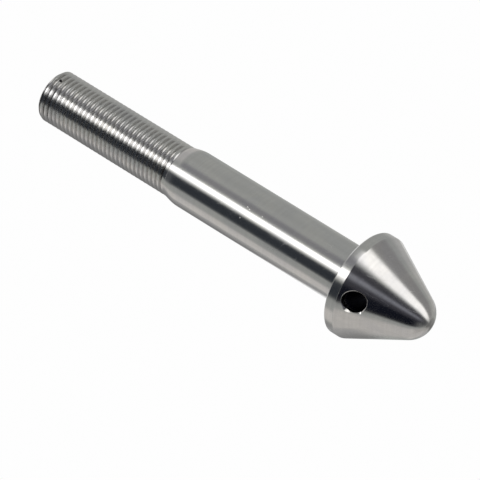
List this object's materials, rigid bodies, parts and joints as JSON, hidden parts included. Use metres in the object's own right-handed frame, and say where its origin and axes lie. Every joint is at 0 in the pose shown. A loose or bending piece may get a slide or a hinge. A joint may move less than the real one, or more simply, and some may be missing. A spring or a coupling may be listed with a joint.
{
  "type": "hood latch pin",
  "caption": "Turned steel latch pin with a threaded end, plain shank, shouldered conical head with a rounded nose, and a cross hole through the cone.",
  "frame": {"origin": "centre of the flat end face of the threaded end", "axes": "+Z along the pin from the threaded end to the rounded nose, +Y along the cross hole"},
  "size_m": [0.0252, 0.0252, 0.1109],
  "materials": {
    "stainless": "fine turned, bright"
  },
  "bodies": {
    "root": {"latch_pin": "stainless"}
  },
  "joints": []
}
